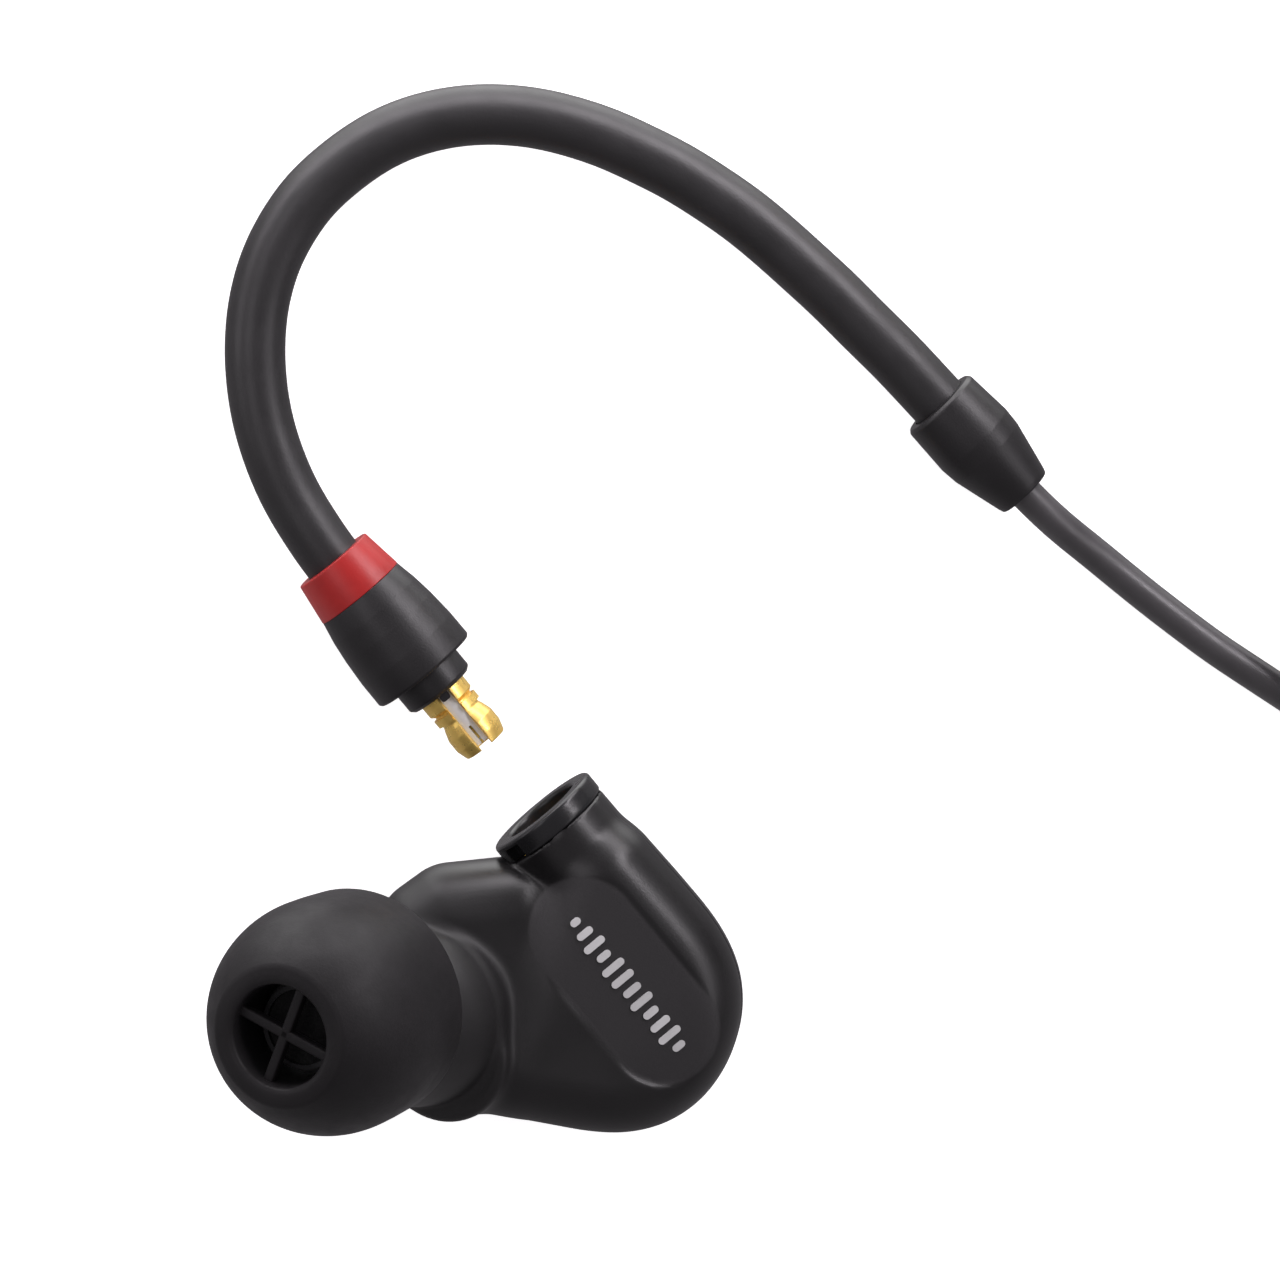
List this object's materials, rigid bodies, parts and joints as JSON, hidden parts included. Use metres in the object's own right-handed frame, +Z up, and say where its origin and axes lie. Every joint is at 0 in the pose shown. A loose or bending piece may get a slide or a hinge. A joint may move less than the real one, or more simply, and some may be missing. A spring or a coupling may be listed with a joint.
{
  "type": "in-ear monitor",
  "caption": "Right-hand in-ear monitor with a pull-off silicone tip, and its plug-in lead with a formed ear hook, wound cable and stereo jack.",
  "frame": {"origin": "on the table, on the flat outer face of the housing, under the axis of the socket", "axes": "+Z up from the table through the housing, +X the way the plug moves into the socket"},
  "size_m": [0.0726, 0.0852, 0.0176],
  "materials": {
    "housing_black": "satin",
    "cover_black": "satin",
    "gold": "polished",
    "insulator_white": "satin",
    "steel": "satin",
    "frame_grey": "matte",
    "foam": "matte",
    "copper": "satin",
    "film": "satin",
    "board_green": "satin",
    "silicone": "matte",
    "grip_black": "satin",
    "ring_red": "satin",
    "hook_black": "matte",
    "cable_black": "matte",
    "strap_black": "matte"
  },
  "bodies": {
    "earpiece": {"front_shell": "housing_black", "rear_shell": "cover_black", "connector_collar": "housing_black", "socket_barrel": "gold", "socket_insulator": "insulator_white", "socket_contact": "gold", "nozzle": "housing_black", "nozzle_mesh": "steel", "acoustic_damper": "foam", "driver_frame": "frame_grey", "driver_yoke": "steel", "driver_magnet": "steel", "pole_plate": "steel", "voice_coil": "copper", "diaphragm": "film", "driver_board": "board_green", "driver_gasket": "foam", "signal_wires": "copper", "vent_filter": "foam"},
    "ear_tip": {"ear_tip": "silicone"},
    "snap_ring": {"snap_ring": "gold"},
    "lead": {"plug_ferrule": "gold", "plug_pin": "gold", "plug_insulator": "insulator_white", "plug_collar": "grip_black", "plug_boot": "grip_black", "colour_ring": "ring_red", "ear_hook": "hook_black", "hook_cable": "cable_black", "hook_sleeve": "grip_black", "cable": "cable_black", "cable_coil": "cable_black", "cable_end": "cable_black", "cable_tie": "strap_black", "jack_relief": "grip_black", "jack_barrel": "grip_black", "jack_sleeve": "gold", "jack_ring": "gold", "jack_tip": "gold", "jack_insulators": "grip_black"}
  },
  "joints": [
    {"name": "tip_pull", "type": "slide", "parent": "earpiece", "child": "ear_tip", "axis": [-0.2711, -0.4019, 0.8746], "range_m": [0, 0.006]},
    {"name": "plug_in", "type": "slide", "parent": "earpiece", "child": "snap_ring", "axis": [1, 0, 0], "range_m": [0, 0.00905]},
    {"name": "plug_swivel", "type": "hinge", "parent": "snap_ring", "child": "lead", "pos_m": [-0.0166, 0, 0.00285], "axis": [1, 0, 0], "continuous": true}
  ]
}
